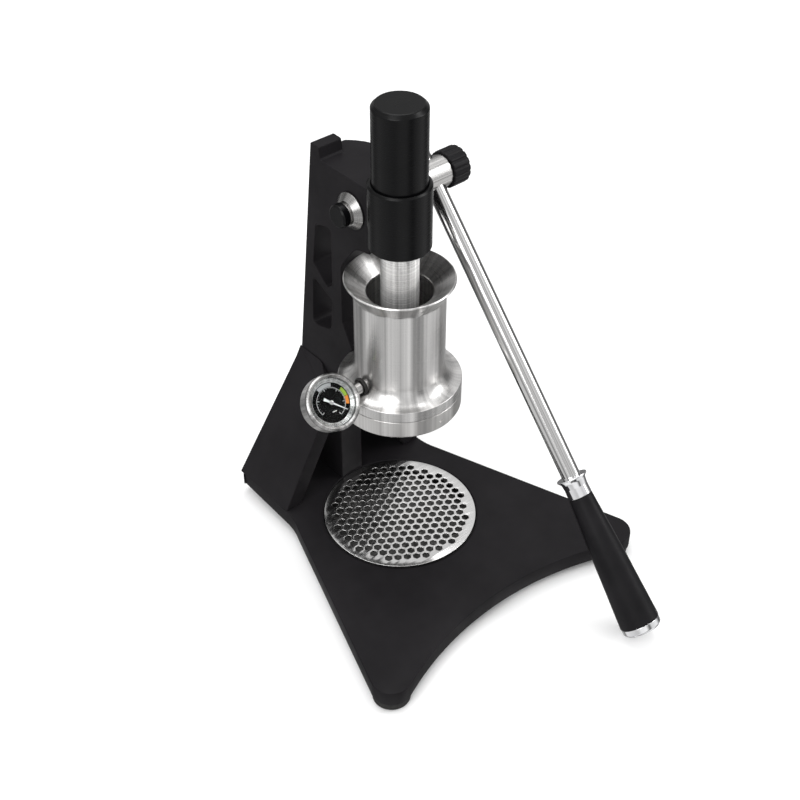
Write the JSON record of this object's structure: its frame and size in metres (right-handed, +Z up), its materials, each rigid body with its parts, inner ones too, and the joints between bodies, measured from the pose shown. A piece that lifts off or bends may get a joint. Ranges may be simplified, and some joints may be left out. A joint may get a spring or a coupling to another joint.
{
  "type": "manual lever coffee press",
  "caption": "Hand lever espresso press: a rack and pinion drives a piston into a flared steel chamber with a lock ring, pressure gauge, drip grille and forked base.",
  "frame": {"origin": "centre of the bounding box at rest, on the plane the rubber feet stand on", "axes": "+Z up; -Y is the front, where the lever comes down; +X is the lever's side"},
  "size_m": [0.2332, 0.3046, 0.3468],
  "materials": {
    "black_metal": "matt black anodised, fine grain",
    "satin_black": "satin black anodised",
    "black_steel": "blackened steel, slightly oily",
    "rubber": "matt black rubber",
    "brushed_steel": "brushed stainless steel",
    "polished_steel": "polished stainless steel",
    "chrome": "mirror chrome",
    "bronze": "sintered bronze",
    "grip_plastic": "soft satin black plastic",
    "piston_plastic": "black moulded plastic",
    "dial_face": "matt black printed dial",
    "pointer_white": "white lacquer",
    "glass": "clear flat glass"
  },
  "bodies": {
    "frame": {"base_plate": "black_metal", "foot_front_left": "rubber", "foot_front_right": "rubber", "foot_rear_left": "rubber", "foot_rear_right": "rubber", "base_screw_1": "black_steel", "base_screw_2": "black_steel", "base_screw_3": "black_steel", "base_screw_4": "black_steel", "base_screw_5": "black_steel", "base_screw_6": "black_steel", "column": "black_metal", "wing_left": "black_metal", "wing_right": "black_metal", "housing": "satin_black", "top_cap": "satin_black", "guide_bushing_lower": "bronze", "guide_bushing_upper": "bronze", "shaft_bushing_left": "brushed_steel", "shaft_bushing_right": "brushed_steel", "chamber": "brushed_steel", "chamber_screw_1": "black_steel", "chamber_screw_2": "black_steel", "bayonet_collar": "brushed_steel", "shower_screen": "polished_steel", "group_gasket": "rubber", "gauge_case": "brushed_steel", "gauge_bezel": "polished_steel", "gauge_glass": "glass", "gauge_spacer": "brushed_steel", "gauge_dial": "dial_face", "gauge_stem": "brushed_steel", "stem_seal": "rubber"},
    "lever": {"pinion_shaft": "polished_steel", "pinion_gear": "black_steel", "shaft_end_cap": "satin_black", "lever_hub": "polished_steel"},
    "knob": {"clamp_knob": "grip_plastic", "clamp_screw": "polished_steel"},
    "rod": {"lever_rod": "polished_steel", "lever_ferrule": "chrome", "lever_grip": "grip_plastic", "lever_end_cap": "chrome"},
    "ram": {"ram": "polished_steel", "rack": "black_steel", "rack_screw_lower": "black_steel", "rack_screw_upper": "black_steel", "piston": "piston_plastic", "piston_seal_lower": "rubber", "piston_seal_upper": "rubber", "piston_bolt": "polished_steel"},
    "portafilter": {"lock_ring": "brushed_steel", "basket": "polished_steel"},
    "pointer": {"gauge_pointer": "pointer_white"},
    "pan": {"drip_pan": "brushed_steel"},
    "grille": {"grille": "polished_steel"}
  },
  "joints": [
    {"name": "lever_turn", "type": "hinge", "parent": "frame", "child": "lever", "pos_m": [0, 0.07774, 0.261], "axis": [-1, 0, 0], "range_deg": [0, 140]},
    {"name": "ram_slide", "type": "slide", "parent": "frame", "child": "ram", "axis": [0, 0, 1], "range_m": [0, 0.049]},
    {"name": "rod_adjust", "type": "slide", "parent": "lever", "child": "rod", "axis": [0, 0.6626, 0.749], "range_m": [0, 0.06]},
    {"name": "knob_turn", "type": "hinge", "parent": "lever", "child": "knob", "pos_m": [0.074, 0.07774, 0.261], "axis": [1, 0, 0], "range_deg": [0, 180]},
    {"name": "ring_twist", "type": "hinge", "parent": "frame", "child": "portafilter", "pos_m": [0, 0.04234, 0.132], "axis": [0, 0, 1], "range_deg": [-50, 0]},
    {"name": "pointer_turn", "type": "hinge", "parent": "frame", "child": "pointer", "pos_m": [-0.0599, 0.03684, 0.1582], "axis": [-0.0648, -0.7403, 0.6691], "range_deg": [0, 253]},
    {"name": "pan_lift", "type": "slide", "parent": "frame", "child": "pan", "axis": [0, 0, 1], "range_m": [0, 0.03]},
    {"name": "grille_lift", "type": "slide", "parent": "pan", "child": "grille", "axis": [0, 0, 1], "range_m": [0, 0.02]}
  ],
  "couplings": [
    {"joint": "ram_slide", "follows": "lever_turn", "m_per_rad": 0.02}
  ]
}
